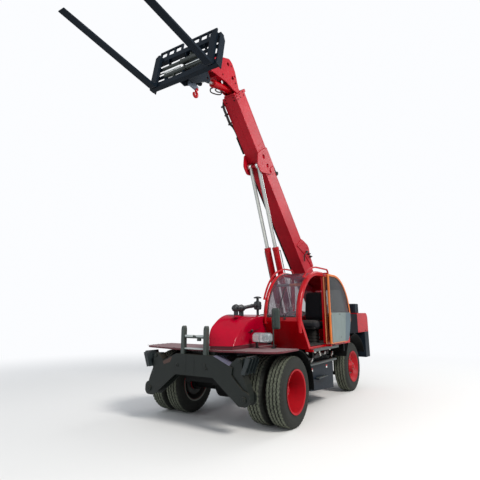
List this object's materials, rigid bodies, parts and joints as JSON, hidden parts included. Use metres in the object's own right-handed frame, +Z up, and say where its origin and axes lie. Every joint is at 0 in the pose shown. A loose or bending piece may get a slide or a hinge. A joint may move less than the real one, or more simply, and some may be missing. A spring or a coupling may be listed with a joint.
{
  "type": "telehandler",
  "caption": "Telehandler with a raised three-section boom and pallet forks, a rounded side cab with an open door, dual front wheels, steered rear wheels and folded front stabilisers.",
  "frame": {"origin": "on the ground under the middle of the machine's overall length and width", "axes": "+X forward along the forks, +Y to the machine's left (cab side), +Z up"},
  "size_m": [7.5885, 2.592, 6.4321],
  "materials": {
    "red_paint": "gloss",
    "rim_paint": "satin",
    "dark_paint": "satin",
    "slate_paint": "satin",
    "deck_paint": "matte",
    "orange_paint": "satin",
    "grey_panel": "satin",
    "black_plastic": "matte",
    "rubber": "matte",
    "window": "clear",
    "lamp": "clear",
    "chrome": "polished",
    "seat_cover": "matte",
    "iron": "matte"
  },
  "bodies": {
    "chassis": {"frame": "dark_paint", "front_axle": "dark_paint", "rear_axle": "dark_paint", "front_arch": "dark_paint", "boom_cradle": "dark_paint", "deck": "deck_paint", "mudguards": "dark_paint", "hood": "red_paint", "engine_block": "iron", "air_cleaner": "black_plastic", "headlamp": "lamp", "mirror": "black_plastic", "cab_shell": "red_paint", "cab_glass": "window", "cab_rails": "red_paint", "seat": "seat_cover", "cab_controls": "black_plastic", "steering_wheel": "black_plastic", "rear_covers": "red_paint", "side_boxes": "dark_paint", "wheel_arches": "dark_paint", "ballast": "slate_paint", "rear_locker": "slate_paint", "boom_tower": "red_paint", "belly_box": "slate_paint", "valve_block": "iron", "hydraulic_tank": "slate_paint", "fuel_tank": "slate_paint", "cab_carriers": "dark_paint"},
    "front_left_wheels": {"front_left_tyres": "rubber", "front_left_rims": "rim_paint"},
    "front_right_wheels": {"front_right_tyres": "rubber", "front_right_rims": "rim_paint"},
    "left_knuckle": {"knuckle_left": "dark_paint"},
    "right_knuckle": {"knuckle_right": "dark_paint"},
    "rear_left_wheel": {"rear_left_tyre": "rubber", "rear_left_rim": "rim_paint"},
    "rear_right_wheel": {"rear_right_tyre": "rubber", "rear_right_rim": "rim_paint"},
    "cab_door": {"door_frame": "orange_paint", "door_panel": "grey_panel", "door_glass": "window"},
    "boom": {"outer_boom": "red_paint", "hose_tray": "black_plastic"},
    "boom_middle": {"middle_boom": "red_paint"},
    "boom_inner": {"inner_boom": "red_paint"},
    "fork_carriage": {"carriage": "slate_paint", "load_guards": "slate_paint"},
    "left_fork": {"fork_left": "slate_paint"},
    "right_fork": {"fork_right": "slate_paint"},
    "lift_rod_pair": {"lift_rods": "chrome"},
    "lift_barrel_pair": {"lift_barrels": "red_paint"},
    "tilt_cylinder_barrel": {"tilt_barrel": "slate_paint"},
    "tilt_cylinder_rod": {"tilt_rod": "chrome"},
    "left_stabiliser": {"stabiliser_left": "dark_paint"},
    "left_foot": {"foot_left": "dark_paint"},
    "right_stabiliser": {"stabiliser_right": "dark_paint"},
    "right_foot": {"foot_right": "dark_paint"}
  },
  "joints": [
    {"name": "front_left_roll", "type": "hinge", "parent": "chassis", "child": "front_left_wheels", "pos_m": [0.58588, 0.952, 0.5], "axis": [0, 1, 0], "continuous": true},
    {"name": "front_right_roll", "type": "hinge", "parent": "chassis", "child": "front_right_wheels", "pos_m": [0.58588, -0.952, 0.5], "axis": [0, 1, 0], "continuous": true},
    {"name": "steer_left", "type": "hinge", "parent": "chassis", "child": "left_knuckle", "pos_m": [-2.81412, 0.6, 0.5], "axis": [0, 0, 1], "range_deg": [-35, 35]},
    {"name": "steer_right", "type": "hinge", "parent": "chassis", "child": "right_knuckle", "pos_m": [-2.81412, -0.6, 0.5], "axis": [0, 0, 1], "range_deg": [-35, 35]},
    {"name": "rear_left_roll", "type": "hinge", "parent": "left_knuckle", "child": "rear_left_wheel", "pos_m": [-2.81412, 0.865, 0.5], "axis": [0, 1, 0], "continuous": true},
    {"name": "rear_right_roll", "type": "hinge", "parent": "right_knuckle", "child": "rear_right_wheel", "pos_m": [-2.81412, -0.865, 0.5], "axis": [0, 1, 0], "continuous": true},
    {"name": "door_swing", "type": "hinge", "parent": "chassis", "child": "cab_door", "pos_m": [-0.89912, 1.25, 1.72], "axis": [0, 0, -1], "range_deg": [0, 180]},
    {"name": "boom_lift", "type": "hinge", "parent": "chassis", "child": "boom", "pos_m": [-3.36812, 0, 1.752], "axis": [0, -1, 0], "range_deg": [-50, 20]},
    {"name": "boom_extend_middle", "type": "slide", "parent": "boom", "child": "boom_middle", "axis": [0.6788, 0, 0.7343], "range_m": [0, 3.6]},
    {"name": "boom_extend_inner", "type": "slide", "parent": "boom_middle", "child": "boom_inner", "axis": [0.6788, 0, 0.7343], "range_m": [0, 3.6]},
    {"name": "carriage_tilt", "type": "hinge", "parent": "boom_inner", "child": "fork_carriage", "pos_m": [1.48344, 0, 5.96916], "axis": [0, -1, 0], "range_deg": [-50, 50]},
    {"name": "fork_left_shift", "type": "slide", "parent": "fork_carriage", "child": "left_fork", "axis": [0, 1, 0], "range_m": [-0.5, 0.022]},
    {"name": "fork_right_shift", "type": "slide", "parent": "fork_carriage", "child": "right_fork", "axis": [0, -1, 0], "range_m": [-0.5, 0.022]},
    {"name": "lift_rod_swing", "type": "hinge", "parent": "boom", "child": "lift_rod_pair", "pos_m": [-0.36641, 0, 4.60148], "axis": [0, -1, 0], "range_deg": [-2.8, 1.2]},
    {"name": "lift_barrel_travel", "type": "slide", "parent": "lift_rod_pair", "child": "lift_barrel_pair", "axis": [-0.375, 0, -0.927], "range_m": [-1.4, 0.56]},
    {"name": "tilt_barrel_swing", "type": "hinge", "parent": "boom_inner", "child": "tilt_cylinder_barrel", "pos_m": [0.53776, 0, 5.9037], "axis": [0, -1, 0], "range_deg": [-1.6, 1.6]},
    {"name": "tilt_rod_travel", "type": "slide", "parent": "tilt_cylinder_barrel", "child": "tilt_cylinder_rod", "axis": [0.9726, 0, -0.2324], "range_m": [-0.214, 0.214]},
    {"name": "stabiliser_left_swing", "type": "hinge", "parent": "chassis", "child": "left_stabiliser", "pos_m": [1.36588, 0.89, 0.485], "axis": [-1, 0, 0], "range_deg": [0, 136]},
    {"name": "foot_left_swing", "type": "hinge", "parent": "left_stabiliser", "child": "left_foot", "pos_m": [1.36588, 0.8, 0.98], "axis": [-1, 0, 0], "range_deg": [-68, 0]},
    {"name": "stabiliser_right_swing", "type": "hinge", "parent": "chassis", "child": "right_stabiliser", "pos_m": [1.36588, -0.89, 0.485], "axis": [1, 0, 0], "range_deg": [0, 136]},
    {"name": "foot_right_swing", "type": "hinge", "parent": "right_stabiliser", "child": "right_foot", "pos_m": [1.36588, -0.8, 0.98], "axis": [1, 0, 0], "range_deg": [-68, 0]}
  ],
  "couplings": [
    {"joint": "steer_right", "follows": "steer_left", "ratio": 1},
    {"joint": "boom_extend_inner", "follows": "boom_extend_middle", "ratio": 1},
    {"joint": "lift_rod_swing", "follows": "boom_lift", "ratio": 0.055},
    {"joint": "lift_barrel_travel", "follows": "boom_lift", "m_per_rad": 1.6},
    {"joint": "tilt_barrel_swing", "follows": "carriage_tilt", "ratio": -0.03},
    {"joint": "tilt_rod_travel", "follows": "carriage_tilt", "m_per_rad": 0.243},
    {"joint": "foot_left_swing", "follows": "stabiliser_left_swing", "ratio": -0.497},
    {"joint": "foot_right_swing", "follows": "stabiliser_right_swing", "ratio": -0.497}
  ]
}
